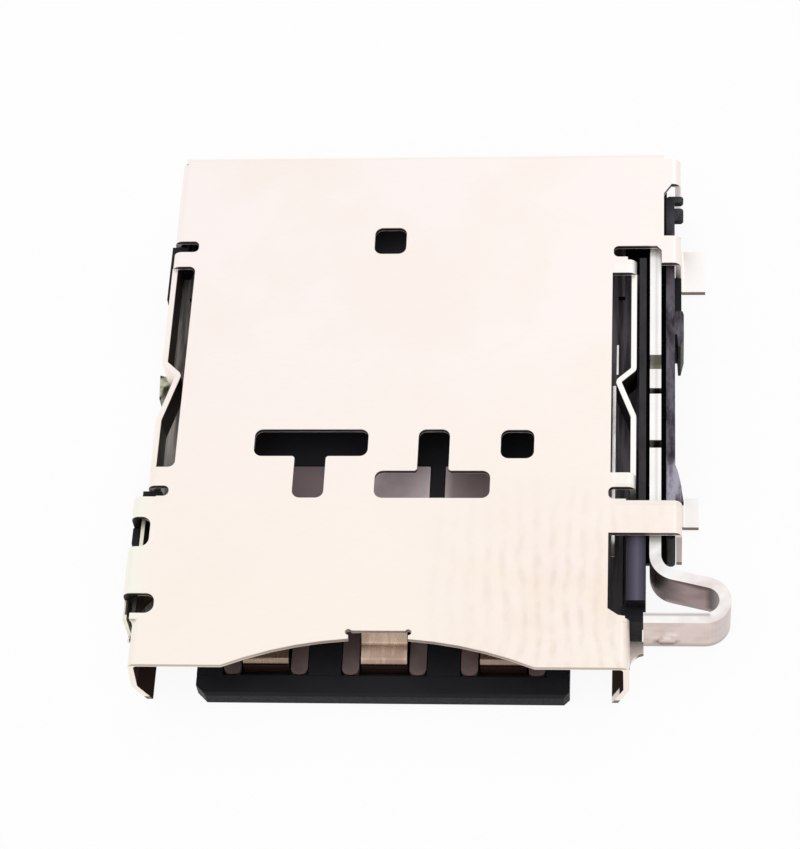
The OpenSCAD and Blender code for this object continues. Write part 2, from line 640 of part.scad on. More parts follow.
module tongue_and_rails(path, root) {
    across_x(tongue_w) strip(path, contact_t);
    for (side = [-1, 1]) {
        x = [tongue_w / 2 + rail_gap, rails_w / 2];
        mirror([side < 0 ? 1 : 0, 0, 0]) translate([0, 0, rail_z[0]]) linear_extrude(contact_t) {
            rounded(x, [-rail_end, 0], 0.45 * (x[1] - x[0]));
            translate([x[0], -rail_end / 2]) square([x[1] - x[0], rail_end / 2 + root + eps]);
        }
    }
}

module front_contact(i) from_front() translate([(i - 1) * pitch, 0, 0]) {
    translate([0, tip_y, 0]) tongue_and_rails(tongue_path, root_front[0] - tip_y);
    block([-root_reach[i][0], root_reach[i][1]], root_front, rail_z);
    y = root_front[1] - contact_t / 2;
    across_x(tail_w) strip([[y - 0.4, rail_z[0] + contact_t / 2, 0], [y, rail_z[0] + contact_t / 2, 0.08],
                            [y, contact_t / 2, 0.08], [y + 0.6, contact_t / 2, 0]], contact_t);
}

module rear_contact(i) from_front() translate([(i - 1) * pitch, 0, 0]) {
    translate([0, rear_tip_y, 0]) mirror([0, 1, 0]) tongue_and_rails(rear_tongue_path, rear_tip_y - root_rear[1]);
    block([-rails_w / 2, rails_w / 2], root_rear, rail_z);
    cross = [rear_tip_y + rail_end - eps, rear_tip_y + rail_end + 0.3];
    block([-rails_w / 2, rails_w / 2], cross, rail_z);
    drop = tail_z[0] + contact_t / 2;
    across_x(tail_w) strip([[cross[0], rail_z[0] + contact_t / 2, 0], [cross[1], rail_z[0] + contact_t / 2, 0.08],
                            [cross[1] + contact_t, drop, 0.08], [strip_end - foot_l - 0.1, drop, 0.08],
                            [strip_end - foot_l, contact_t / 2, 0.08], [strip_end, contact_t / 2, 0]], contact_t);
}

module contact_front_left() color([0.80, 0.68, 0.58]) front_contact(0);
module contact_front_middle() color([0.80, 0.68, 0.58]) front_contact(1);
module contact_front_right() color([0.80, 0.68, 0.58]) front_contact(2);
module contact_rear_left() color([0.80, 0.68, 0.58]) rear_contact(0);
module contact_rear_middle() color([0.80, 0.68, 0.58]) rear_contact(1);
module contact_rear_right() color([0.80, 0.68, 0.58]) rear_contact(2);

// Detect switch: the tray's side pushes the bump out, and the front end meets the terminal

module detect_spring() color([0.83, 0.72, 0.50]) from_front() {
    x = -blade_x;
    bump = blade_y[1] - 1.65;
    path = [[x, blade_y[1], 0], [x, bump + 0.55, 0.2], [x + 0.42, bump, 0.12], [x, bump - 0.5, 0.2],
            [x, blade_y[0], 0]];
    translate([0, 0, blade_z[0]]) linear_extrude(blade_z[1] - blade_z[0]) strip(path, blade_t);
    along_y(blade_y[1] - root_l, blade_y[1])
        strip([[x, blade_z[0] + 0.1, 0], [x, blade_t / 2, 0.08], [-wing_x, blade_t / 2, 0]], blade_t);
}

module detect_terminal() color([0.83, 0.72, 0.50]) from_front() {
    x = -terminal_x;
    stand = [blade_y[0] + 0.06, blade_y[0] + 0.52];
    along_y(stand[0], stand[1])
        strip([[x, blade_z[1] - 0.05, 0], [x, blade_t / 2, 0.08], [-wing_x - 0.05, blade_t / 2, 0]], blade_t);
}

// Push rod: one strip on its edge, bent round into the loop with the press pad

module push_rod() color([0.84, 0.79, 0.77]) from_front() {
    pad_mid = pad_y + rod_t / 2;
    loop_mid = loop_x - rod_t / 2;
    corner_y = pad_mid + loop_r * (1 + tan((90 - run_angle) / 2));
    bend_y = corner_y + (loop_mid - rod_x) * tan(run_angle);
    path = [[rod_x, rod_end_y, 0], [rod_x, bend_y, rod_bend_r], [loop_mid, corner_y, loop_r],
            [loop_mid, pad_mid, loop_r], [pad_x, pad_mid, 0]];
    difference() {
        translate([0, 0, rod_z]) linear_extrude(rod_h) strip(path, rod_t);
        for (y = rod_notches) block([rod_x - rod_t, rod_x + rod_t], y, [rod_top - rod_notch, height]);
    }
    translate([pad_x + 0.5, pad_y + eps, rod_z + dimple_r + 0.02]) rotate([90, 0, 0])
        cylinder(r1 = dimple_r, r2 = 0.7 * dimple_r, h = eps + 0.05);
}

// Eject lever: at rest the rod is pushed in, so the long arm stands forward

pivot_x = rod_x - short_arm;
pivot_y = shell_l - pivot_back;
lever_angle = rod_travel / short_arm * 90 / PI;
nose_y = pivot_y + short_arm * sin(lever_angle);
rod_end_y = nose_y - nose_r - 0.06;
lever_z = plate_z - slide_fit - lever_t;

module arm(length, angle, w, end_r) rotate(angle) {
    translate([0, -w / 2]) square([length, w]);
    translate([length, 0]) circle(end_r);
}

module eject_lever() color([0.80, 0.79, 0.78]) from_front() translate([pivot_x, pivot_y, lever_z])
    difference() {
        linear_extrude(lever_t) {
            circle(hub_r);
            arm(short_arm, lever_angle, 2 * nose_r, nose_r);
            arm(arm_l, 180 + lever_angle + arm_bend, arm_w, arm_w / 2);
        }
        translate([0, 0, -1]) cylinder(r = pivot_r + pivot_fit, h = 2);
    }

base();
shell();
contact_front_left();
contact_front_middle();
contact_front_right();
contact_rear_left();
contact_rear_middle();
contact_rear_right();
detect_spring();
detect_terminal();
push_rod();
eject_lever();
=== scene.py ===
import bmesh
import bpy
import json
from math import cos, sin, pi
from mathutils import Matrix, Vector


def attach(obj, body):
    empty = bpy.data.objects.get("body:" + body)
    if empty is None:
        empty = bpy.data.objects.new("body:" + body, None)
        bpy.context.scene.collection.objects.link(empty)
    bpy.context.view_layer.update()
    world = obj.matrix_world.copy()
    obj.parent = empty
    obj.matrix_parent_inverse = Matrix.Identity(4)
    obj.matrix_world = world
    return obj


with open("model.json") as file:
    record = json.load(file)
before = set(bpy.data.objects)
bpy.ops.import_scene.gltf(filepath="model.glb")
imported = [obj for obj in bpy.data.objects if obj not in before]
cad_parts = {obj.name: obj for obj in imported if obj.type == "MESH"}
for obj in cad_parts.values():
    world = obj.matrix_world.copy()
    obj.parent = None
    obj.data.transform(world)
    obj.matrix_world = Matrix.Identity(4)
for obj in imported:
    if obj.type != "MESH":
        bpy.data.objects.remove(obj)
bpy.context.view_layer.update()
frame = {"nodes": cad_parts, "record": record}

MM = 0.001


# Camera, at the photograph's viewing angle

YAW, PITCH, ROLL = -0.1741, 1.004, -0.1476
EYE = Vector((5.9545, -33.7097, 54.0675)) * MM
FOCAL_PX, WIDTH_PX, SENSOR_MM = 2835.36, 800, 36.0
CLIP_NEAR, CLIP_FAR = 0.001, 10


def add_camera():
    ahead = Vector((sin(YAW) * cos(PITCH), cos(YAW) * cos(PITCH), -sin(PITCH)))
    level = Vector((cos(YAW), -sin(YAW), 0))
    over = level.cross(ahead)
    right = level * cos(ROLL) + over * sin(ROLL)
    up = over * cos(ROLL) - level * sin(ROLL)
    data = bpy.data.cameras.new("camera")
    data.sensor_fit = "HORIZONTAL"
    data.sensor_width = SENSOR_MM
    data.lens = FOCAL_PX / WIDTH_PX * SENSOR_MM
    data.clip_start, data.clip_end = CLIP_NEAR, CLIP_FAR
    cam = bpy.data.objects.new("camera", data)
    turn = Matrix((right, up, -ahead)).transposed().to_4x4()
    cam.matrix_world = Matrix.Translation(EYE) @ turn
    bpy.context.scene.collection.objects.link(cam)
    bpy.context.scene.camera = cam


# Materials. Places in them are millimetres of the shared frame, and colours are screen colours.

RIPPLE_PITCH = 0.34
WAVE_PERIOD = 2 * pi / 20       # of a wave texture at scale 1
MIX_A, MIX_B, MIXED = 6, 7, 2   # colour sockets of a mix node

# Heights, from the board plane up
FLANGES = (-1, 0.125)
CONTACT_PLATES = (-1, 0.41)
CONTACT_TIPS = (-1, 0.47)
SLOT_FLOORS = (0.2, 0.42)
ROD_NOTCHES = (0.7, 1.17)
WALL_TOPS = (1.1, 1.3)
UNDER_SHEET = (-1, 1.26)
SHEET_EDGES = (1.3, 1.385)

# Places across, from the middle line of the card to the right
LEFT_SLOT = (-5.4, -4.6)
RIGHT_SLOT = (4.6, 5.4)
OUTER_WALL = (5.95, 6.5)
BEYOND_STRAPS = (6.34, 7.5)


def rgb(r, g, b):
    """A screen colour, 0 to 255, as the linear colour that renders as it."""
    def linear(c):
        c /= 255
        return c / 12.92 if c <= 0.04045 else ((c + 0.055) / 1.055) ** 2.4
    return linear(r), linear(g), linear(b), 1.0


class Nodes:
    """A node material with short calls for what the materials here use."""

    def __init__(self, name):
        self.mat = bpy.data.materials.new(name)
        self.mat.use_nodes = True
        self.tree = self.mat.node_tree
        self.shader = self.tree.nodes["Principled BSDF"]
        coord = self.tree.nodes.new("ShaderNodeTexCoord").outputs
        self.place = coord["Object"]
        self.where = self.add("ShaderNodeSeparateXYZ", {"Vector": self.place}).outputs
        self.facing = self.add("ShaderNodeSeparateXYZ", {"Vector": coord["Normal"]}).outputs

    def add(self, kind, inputs=None, **props):
        node = self.tree.nodes.new(kind)
        for key, value in props.items():
            setattr(node, key, value)
        for key, value in (inputs or {}).items():
            self.put(node.inputs[key], value)
        return node

    def put(self, socket, value):
        if isinstance(value, bpy.types.NodeSocket):
            self.tree.links.new(value, socket)
        else:
            socket.default_value = value

    def set(self, **inputs):
        for key, value in inputs.items():
            self.put(self.shader.inputs[key.replace("_", " ")], value)

    def bump(self, height, strength, depth):
        """Relief of a depth in millimetres."""
        node = self.add("ShaderNodeBump",
                        {"Height": height, "Strength": strength, "Distance": depth * MM})
        self.set(Normal=node.outputs["Normal"])

    def noise(self, stretch, size, detail, rough=0.55):
        vec = self.add("ShaderNodeMapping", {"Vector": self.place, "Scale": stretch})
        node = self.add("ShaderNodeTexNoise", {"Vector": vec.outputs["Vector"], "Scale": size,
                                               "Detail": detail, "Roughness": rough})
        return node.outputs["Fac"]

    def ripple(self, pitch):
        """Uneven waves across, a pitch in millimetres apart."""
        node = self.add("ShaderNodeTexWave",
                        {"Vector": self.place, "Scale": WAVE_PERIOD / (pitch * MM),
                         "Distortion": 7.0, "Detail": 2.0, "Detail Scale": 0.6},
                        bands_direction="X")
        return node.outputs["Fac"]

    # Numbers

    def math(self, kind, a, b=0.0):
        node = self.add("ShaderNodeMath", operation=kind)
        self.put(node.inputs[0], a)
        self.put(node.inputs[1], b)
        return node.outputs[0]

    def span(self, fac, lo, hi, out_lo=0, out_hi=1):
        """out_lo below lo, out_hi above hi, and a straight passage between them."""
        node = self.add("ShaderNodeMapRange", {"Value": fac, "From Min": lo, "From Max": hi,
                                              "To Min": out_lo, "To Max": out_hi})
        return node.outputs["Result"]

    def fade(self, axis, lo, hi, out_lo=0, out_hi=1):
        """A span between two places on an axis."""
        return self.span(self.where[axis], lo * MM, hi * MM, out_lo, out_hi)

    def vary(self, noise, lo, hi):
        """A value that a noise moves between two ends."""
        return self.span(noise, 0.3, 0.7, lo, hi)

    def switch(self, mask, off, on):
        """One value where a mask is 0, and another where it is 1."""
        return self.span(mask, 0, 1, off, on)

    # Masks

    def chain(self, kind, masks):
        """One operation through all the masks."""
        out = masks[0]
        for mask in masks[1:]:
            out = self.math(kind, out, mask)
        return out

    def every(self, *masks):
        """1 where every mask is. A number among them weakens the result."""
        return self.chain("MULTIPLY", masks)

    def either(self, *masks):
        """1 where any of the masks is."""
        return self.chain("MAXIMUM", masks)

    def zone(self, soft=0.02, **ends):
        """1 inside a box, such as zone(X=(1, 2), Z=(0, 1))."""
        masks = []
        for axis, (lo, hi) in ends.items():
            masks.append(self.fade(axis, lo - soft, lo + soft))
            masks.append(self.fade(axis, hi - soft, hi + soft, 1, 0))
        return self.every(*masks)

    def flat_up(self):
        """1 on faces that look up."""
        return self.span(self.facing["Z"], 0.6, 0.85)

    def upright(self):
        """1 on faces that stand."""
        return self.span(self.math("ABSOLUTE", self.facing["Z"]), 0.2, 0.5, 1, 0)

    def forward(self, full=-0.9, none=-0.7, rest=0):
        """1 on faces that look out of the mouth, and rest on those that don't."""
        return self.span(self.facing["Y"], full, none, 1, rest)

    def inward(self):
        """1 on faces that look towards the middle of the socket, across."""
        side = self.math("MULTIPLY", self.where["X"], self.facing["X"])
        return self.span(side, -3 * MM, -1 * MM, 1, 0)

    # Colours

    def mix(self, fac, a, b):
        node = self.add("ShaderNodeMix", data_type="RGBA", blend_type="MIX")
        self.put(node.inputs["Factor"], fac)
        self.put(node.inputs[MIX_A], a)
        self.put(node.inputs[MIX_B], b)
        return node.outputs[MIXED]

    def mottle(self, noise, a, b, lo=0.35, hi=0.7, most=1):
        """Colour a, and b where a noise is high. most is the share that b reaches."""
        return self.mix(self.span(noise, lo, hi, 0, most), a, b)


def shell_sheet():
    """Bright stamped stainless sheet: rolled grain, soft clouds, ripples at the front right,
    tan cut edges at the mouth, painted shade on the other cut edges and on faces inside the socket."""
    n = Nodes("shell_sheet_look")
    cloud = n.noise((1, 1, 1), 380, 2)
    roll = n.noise((1, 14, 14), 2600, 3, 0.6)
    patch = n.noise((1, 1, 1), 900, 2)
    blot = n.noise((1.6, 1, 1), 2100, 2)
    tint = n.mix(n.fade("Y", -5, 2), rgb(254, 244, 234), rgb(255, 245, 242))
    tint = n.mottle(cloud, tint, rgb(252, 242, 232), 0.45, 0.65, most=0.6)
    tint = n.mottle(roll, tint, rgb(247, 237, 229), 0.35, 0.75, most=0.25)
    # Patches and ripples that the front right corner took in forming
    corner = n.zone(X=(2.0, 7.5), Y=(-8, -3.2), soft=1.3)
    tan = n.every(corner, n.span(patch, 0.4, 0.62, 0.1, 0.9))
    tint = n.mix(tan, tint, rgb(250, 234, 220))
    pink = n.every(corner, n.span(cloud, 0.5, 0.62, 0, 0.6))
    tint = n.mix(pink, tint, rgb(253, 238, 234))
    waves = n.every(n.span(n.ripple(RIPPLE_PITCH), 0.3, 1.0), n.span(blot, 0.38, 0.62, 0.1, 0.85))
    tint = n.mix(n.every(corner, waves), tint, rgb(241, 226, 214))
    # Front strap and wing
    strap = n.every(n.zone(X=(4.9, 7), Y=(-2.75, -1.9)), n.span(patch, 0.3, 0.6, 0.3, 0.9))
    tint = n.mix(strap, tint, rgb(242, 234, 225))
    wing = n.every(n.zone(X=(-6, -5.25), Y=(-6, -2.4), soft=0.15), 0.75)
    tint = n.mix(wing, tint, rgb(249, 248, 237))
    # The thin right spring is whiter, and the flanges and the ear are lightened with painted light
    # against the shade they sit in
    spring = n.zone(X=(4.84, 5.4), Y=(-2.2, 3.6), Z=(1.2, 1.4))
    tint = n.mix(spring, tint, rgb(255, 252, 248))
    low = n.zone(Z=FLANGES, soft=0.005)
    flange = n.every(low, n.zone(X=BEYOND_STRAPS))
    tint = n.mix(flange, tint, rgb(255, 252, 249))
    ear = n.every(low, n.zone(X=(5, 5.7), Y=(-6.3, -5.2)))
    tint = n.mix(ear, tint, rgb(250, 240, 236))
    # Cut edges: tan along the mouth, and painted shade on the cut edges round the openings and on
    # the faces in the notches of the wing
    edges = n.every(n.upright(), n.zone(Z=SHEET_EDGES))
    tint = n.mix(n.every(edges, n.zone(Y=(-7, -5.4))), tint, rgb(196, 178, 160))
    tint = n.mix(n.every(edges, n.zone(Y=(-5.4, 7))), tint, rgb(58, 50, 48))
    notches = n.every(n.zone(X=(-6, -5.3), Y=(-5.05, -2.9), Z=(0, 1.38)), n.forward())
    tint = n.mix(notches, tint, rgb(44, 38, 36))
    # Painted shade on the faces inside the socket, beside the right spring and on the inner faces
    # of the legs, and painted light on the toe of the right leg
    below = n.zone(Z=UNDER_SHEET)
    inside = n.every(n.inward(), n.upright(), below)
    tint = n.mix(inside, tint, rgb(70, 58, 52))
    pocket = n.every(n.upright(), n.zone(X=(4.7, 5.5), Y=(-1.9, 3.7), Z=(0.4, 1.26)))
    tint = n.mix(pocket, tint, rgb(62, 56, 54))
    legs = n.every(n.inward(), n.zone(Y=(-7, -5.6)), below)
    toe = n.zone(X=(4, 6), Y=(-7, -6.62), Z=(-1, 0.4))
    tint = n.mix(legs, tint, n.mix(toe, rgb(62, 44, 38), rgb(255, 253, 250)))
    # Front edges: of the front strap where it folds down, and painted shade on the front faces of
    # the flanges
    tint = n.mix(n.zone(X=(6.1, 6.5), Y=(-3.46, -3.3), Z=(0, 1.2)), tint, rgb(196, 184, 182))
    tint = n.mix(n.every(low, n.forward()), tint, rgb(120, 108, 98))
    n.set(Base_Color=tint, Metallic=n.either(legs, n.switch(flange, 0.7, 1)),
          Roughness=n.either(legs, n.vary(roll, 0.34, 0.48)))
    n.bump(roll, 0.1, 0.004)
    return n.mat


def moulding():
    """Black glass-filled polymer with a fine sparked grain, with painted sheen on the wall tops and
    painted light on the floors.
    """
    n = Nodes("base_moulding_look")
    cloud = n.noise((1, 1, 1), 700, 3)
    grain = n.noise((1, 1, 1), 14000, 2)
    fibre = n.noise((1, 9, 3), 5200, 2, 0.7)
    patchy_sheen = n.noise((2.2, 0.7, 1), 2100, 4, 0.65)
    streak = n.noise((8, 0.5, 1), 900, 2)
    tint = n.mottle(cloud, rgb(31, 30, 34), rgb(22, 22, 25))
    # Painted shade: the faces that look out of the mouth are darker
    front = n.every(n.forward(-0.95, -0.85), n.zone(Y=(-7, -6.7)))
    tint = n.mix(front, tint, rgb(8, 8, 10))
    # Painted sheen, in patches, on the tops of the walls beside the rod: inner wall, outer wall,
    # its teeth and its ramp
    up = n.flat_up()
    top = n.every(up, n.zone(Z=WALL_TOPS))
    inner = n.mottle(patchy_sheen, rgb(56, 53, 57), rgb(42, 40, 43), 0.35, 0.65)
    tint = n.mix(n.every(top, n.zone(X=(5.3, 5.65), Y=(-3.5, 7))), tint, inner)
    outer = n.mottle(patchy_sheen, rgb(98, 93, 103), rgb(44, 39, 45), 0.38, 0.6)
    outer = n.mix(n.fade("Y", 2.6, 3.6, 0, 0.75), outer, rgb(52, 42, 45))
    tint = n.mix(n.every(top, n.zone(X=OUTER_WALL, Y=(-2.8, 3.9))), tint, outer)
    teeth = n.mottle(patchy_sheen, rgb(66, 64, 70), rgb(34, 33, 36), 0.35, 0.65)
    on_teeth = n.every(up, n.zone(X=OUTER_WALL, Y=(3.9, 7), Z=(0.9, 1.3)))
    tint = n.mix(on_teeth, tint, teeth)
    ramp = n.mottle(patchy_sheen, rgb(164, 159, 174), rgb(84, 78, 88), 0.4, 0.6)
    on_ramp = n.every(up, n.zone(X=OUTER_WALL, Y=(-2.7, -1.45), Z=(1, 1.3), soft=0.08))
    tint = n.mix(on_ramp, tint, ramp)
    # Lilac rib beside the loop: painted sheen on its top, with a painted highlight along its middle
    rib = n.mix(n.zone(X=(5.26, 5.46), soft=0.1), rgb(46, 42, 54), rgb(92, 88, 106))
    tint = n.mix(n.every(top, n.zone(X=(5.0, 5.62), Y=(-5, -2.6))), tint, rib)
    # Painted light on the floors of the two slots, less of it at the front of the right one, and on
    # the floor under the openings in the shell, more of it towards the back
    right = n.every(up, n.zone(X=RIGHT_SLOT, Z=SLOT_FLOORS), n.fade("Y", -4, -2.8, 0.3, 1))
    slot_floor_light = n.mottle(streak, rgb(150, 142, 148), rgb(92, 85, 92), 0.4, 0.6)
    tint = n.mix(right, tint, slot_floor_light)
    left = n.every(up, n.zone(X=LEFT_SLOT, Z=SLOT_FLOORS))
    slot_floor_light = n.mottle(streak, rgb(180, 174, 168), rgb(100, 95, 92), 0.4, 0.6)
    tint = n.mix(left, tint, slot_floor_light)
    deep = n.every(up, n.zone(X=(-4.6, 4.6), Y=(-2.4, 6.5), Z=(0.2, 0.45)))
    slot_floor_light = n.mix(n.fade("Y", 1, 3), rgb(38, 38, 42), rgb(88, 88, 94))
    tint = n.mix(deep, tint, slot_floor_light)
    tint = n.mottle(fibre, tint, rgb(92, 92, 106), 0.68, 0.8, most=0.2)
    n.set(Base_Color=tint, Metallic=0.0, Specular_IOR_Level=0.15,
          Roughness=n.vary(grain, 0.42, 0.58))
    n.bump(n.math("ADD", grain, fibre), 0.25, 0.004)
    return n.mat


def contact_metal():
    """Plated copper alloy: a burnished tongue, duller rails and root in their pockets, painted
    light on the low plates under the openings, and painted shade on the tips.
    """
    n = Nodes("contact_metal_look")
    cloud = n.noise((1, 1, 1), 1500, 3)
    grain = n.noise((16, 1, 16), 3600, 3, 0.6)
    paler_mark = n.noise((3, 1, 1), 2400, 3)
    tint = n.mottle(cloud, rgb(186, 160, 142), rgb(158, 132, 117))
    tint = n.mottle(paler_mark, tint, rgb(206, 184, 162), 0.5, 0.7, most=0.6)
    # The side contacts are duller than the middle ones
    sides = n.span(n.math("ABSOLUTE", n.where["X"]), 0.9 * MM, 1.1 * MM, 0, 0.7)
    tint = n.mix(sides, tint, rgb(134, 116, 100))
    # Low plates: painted light where they show through the openings, most of all on the middle one
    low = n.zone(Z=CONTACT_PLATES, soft=0.01)
    tint = n.mix(low, tint, n.mottle(cloud, rgb(122, 104, 102), rgb(96, 82, 80)))
    pale = n.mix(n.fade("X", -1.2, -0.8), rgb(138, 121, 124), rgb(250, 232, 238))
    pale = n.mix(n.fade("X", 1.0, 1.3), pale, rgb(176, 156, 158))
    pale = n.mottle(cloud, pale, rgb(110, 96, 96), most=0.25)
    tint = n.mix(n.every(low, n.zone(Y=(-4.4, 1), soft=0.1)), tint, pale)
    # Painted shade on each tip where it turns down
    tip = n.every(n.zone(Z=CONTACT_TIPS, soft=0.02), n.forward(-0.95, -0.85))
    tint = n.mix(tip, tint, rgb(58, 38, 34))
    n.set(Base_Color=tint, Metallic=n.switch(low, 0.9, 0.35),
          Roughness=n.math("ADD", n.switch(low, 0.26, 0.5), n.vary(grain, -0.03, 0.04)))
    n.bump(grain, 0.03, 0.003)
    return n.mat


def switch_metal():
    """Pale flash over spring sheet, with painted shade on the faces inside and under the front
    notch.
    """
    n = Nodes("switch_metal_look")
    cloud = n.noise((1, 1, 1), 1500, 3)
    grain = n.noise((1, 1, 16), 3600, 3, 0.6)
    tint = n.mottle(cloud, rgb(246, 243, 226), rgb(232, 226, 204))
    # Painted shade on the faces that look inward
    inside = n.every(n.inward(), n.fade("Y", -5.35, -5.25, 0, 0.9))
    tint = n.mix(inside, tint, rgb(52, 42, 34))
    # Painted shade under the front notch
    under = n.every(n.zone(X=(-5.575, -5), Y=(-5.32, -4.3), soft=0.01), n.zone(Z=(0.3, 2)))
    tint = n.mix(under, tint, n.mottle(cloud, rgb(82, 66, 52), rgb(40, 32, 28), 0.4, 0.65))
    n.set(Base_Color=tint, Metallic=n.switch(under, 0.8, 0.3), Roughness=n.vary(grain, 0.28, 0.42))
    n.bump(grain, 0.1, 0.003)
    return n.mat


def rod_sheet():
    """Bent strip: bright sheared edge on top, pinkish drawn faces, painted shade inside the loop
    and on the press pad, and a painted highlight on its dimple.
    """
    n = Nodes("rod_sheet_look")
    cloud = n.noise((1, 1, 1), 900, 3)
    drawn = n.noise((1, 1, 9), 3000, 3, 0.6)
    smear_and_shade = n.noise((1, 1, 1.6), 1700, 2)
    face = n.mottle(cloud, rgb(232, 214, 208), rgb(212, 194, 189))
    face = n.mottle(smear_and_shade, face, rgb(196, 174, 166), 0.48, 0.7, most=0.6)
    # Painted shade on the loop's inner face, deeper under its top edge, along its foot and towards
    # the bends
    inner = n.every(n.zone(X=(5.6, 7.3), Y=(-5.4, -3), soft=0.1), n.forward(-0.6, -0.2),
                    n.fade("Y", -4.95, -4.85))
    shade = n.either(n.fade("Z", 1.02, 1.14, 0, 0.8), n.fade("X", 5.95, 6.4, 0.85, 0),
                     n.fade("Z", 0.16, 0.26, 0.7, 0), n.fade("X", 6.8, 6.94))
    loop_shade = n.mottle(smear_and_shade, rgb(172, 148, 148), rgb(146, 120, 118), 0.4, 0.65)
    face = n.mix(inner, face, n.mix(shade, loop_shade, rgb(70, 54, 54)))
    # Painted shade on the press pad along its lower edge, under its dimple and at the bend, and a
    # painted highlight on the crown of the dimple
    pad = n.every(n.upright(), n.zone(X=(5.5, 7.6), Y=(-5.8, -4.4)), n.forward(-0.5, 0.1, 0.3))
    foot = n.every(pad, n.fade("Z", 0.2, 0.34, 0.8, 0))
    face = n.mix(foot, face, rgb(172, 162, 156))
    front = n.every(pad, n.zone(Y=(-5.8, -5.35)))
    under = n.every(front, n.zone(X=(5.74, 6.24), Z=(0.3, 0.42), soft=0.07),
                    n.span(smear_and_shade, 0.35, 0.55, 0.5, 1))
    face = n.mix(under, face, rgb(96, 74, 68))
    crown = n.every(front, n.zone(X=(5.98, 6.22), Z=(0.58, 0.74), soft=0.07), 0.7)
    face = n.mix(crown, face, rgb(250, 242, 236))
    bent = n.every(pad, n.fade("X", 6.9, 7.25, 0, 0.75))
    face = n.mix(bent, face, rgb(198, 191, 188))
    # Top edge: a grey seam, smears at the bends, and a line along the pad
    top = n.mottle(cloud, rgb(255, 253, 251), rgb(246, 243, 241))
    seam = n.every(n.zone(X=(5.75, 5.79), Y=(-3.4, 4.5), soft=0.03), 0.6)
    top = n.mix(seam, top, rgb(196, 194, 192))
    smeared = n.span(smear_and_shade, 0.35, 0.6, 0.1, 0.8)
    bend = n.zone(X=(5.6, 6.0), Y=(-4.2, -2.6), soft=0.25)
    top = n.mix(n.every(bend, smeared), top, rgb(192, 188, 186))
    loop = n.zone(X=(6.3, 7.6), Y=(-5.9, -4.3), soft=0.25)
    top = n.mix(n.every(loop, smeared), top, rgb(226, 213, 210))
    line = n.every(n.zone(X=(5.5, 6.9), Y=(-5.32, -5.26), soft=0.02), 0.8)
    top = n.mix(line, top, rgb(182, 175, 177))
    tint = n.mix(n.flat_up(), face, top)
    # Sheared faces and floors of the notches, the rear one less deep in shade
    cut = n.zone(X=(5.5, 6), Y=(-1.3, 1.4), Z=ROD_NOTCHES, soft=0.01)
    rear = n.zone(X=(5.5, 6), Y=(0.7, 1.4), Z=ROD_NOTCHES, soft=0.01)
    notch = n.mix(rear, rgb(64, 60, 54), rgb(176, 174, 160))
    # Paler towards the sides of the strip
    paler_mark = n.either(n.fade("X", 5.66, 5.74, 0.65, 0), n.fade("X", 5.83, 5.9, 0, 0.5))
    tint = n.mix(cut, tint, n.mix(paler_mark, notch, rgb(224, 221, 212)))
    n.set(Base_Color=tint, Metallic=0.7, Roughness=n.vary(drawn, 0.28, 0.42))
    n.bump(drawn, 0.12, 0.004)
    return n.mat


def lever_sheet():
    """Stamped stainless lever with a tumbled surface."""
    n = Nodes("lever_sheet_look")
    cloud = n.noise((1, 1, 1), 900, 3)
    tumble = n.noise((1, 1, 1), 6000, 3, 0.6)
    tint = n.mottle(cloud, rgb(216, 214, 212), rgb(190, 186, 184))
    n.set(Base_Color=tint, Metallic=0.85, Roughness=n.vary(tumble, 0.28, 0.42))
    n.bump(tumble, 0.12, 0.003)
    return n.mat


def bright_edge():
    """Bright drawn metal of a strip in the floor of the right slot, placed as a painted highlight
    along the slot's edge.
    """
    n = Nodes("bright_edge_look")
    drawn = n.noise((6, 1, 1), 2400, 3, 0.6)
    tint = n.mottle(drawn, rgb(252, 250, 248), rgb(232, 228, 226))
    n.set(Base_Color=tint, Metallic=1.0, Roughness=n.vary(drawn, 0.14, 0.24))
    n.bump(drawn, 0.05, 0.002)
    return n.mat


def mottled_stop():
    """Olive moulded stop under the left spring, with dark speckles."""
    n = Nodes("mottled_stop_look")
    speck = n.noise((1, 1, 1), 5200, 3, 0.6)
    cloud = n.noise((1, 1, 1), 2600, 2)
    tint = n.mottle(cloud, rgb(210, 208, 184), rgb(128, 126, 96), 0.4, 0.6)
    tint = n.mottle(speck, tint, rgb(34, 32, 26), 0.5, 0.6)
    n.set(Base_Color=tint, Metallic=0.0, Roughness=n.vary(speck, 0.4, 0.6))
    n.bump(speck, 0.2, 0.004)
    return n.mat


def dress():
    """Give each CAD node its look, and return the looks by material slot."""
    looks = {
        "shell_sheet": shell_sheet(),
        "base_moulding": moulding(),
        "contact_metal": contact_metal(),
        "switch_metal": switch_metal(),
        "rod_sheet": rod_sheet(),
        "lever_sheet": lever_sheet(),
    }
    slots = {row["node"]: row["material_slot"] for row in frame["record"]["subparts"]}
    for name, obj in frame["nodes"].items():
        look = looks[slots[name]]
        if not obj.material_slots:
            obj.data.materials.append(look)
        for spot in obj.material_slots:
            spot.material = look
    return looks


# Small moulded and bright details on the socket, in millimetres

TRAY_FLOOR, BLOCK_FOOT, LUG_TOP = 0.4, 0.02, 0.96
STRIP_PROUD, STRIP_SUNK = 0.006, 0.03
STRIP_BREAK, BLOCK_BREAK = 0.004, 0.03

# Each strip: left and right edge, front and back end
STRIPS = {"slot_edge_front": (4.79, 4.87, -3.45, 0.95), "slot_edge_rear": (4.87, 4.92, 1.25, 2.05)}
LUG = ((-5.64, -3.5), (-5.47, -3.54), (-5.47, -3.08), (-5.64, -3.08))
STOP = ((-5.5, 0.62), (-5.38, 0.98), (-5.28, 1.02), (-5.28, 1.2), (-5.54, 1.27))


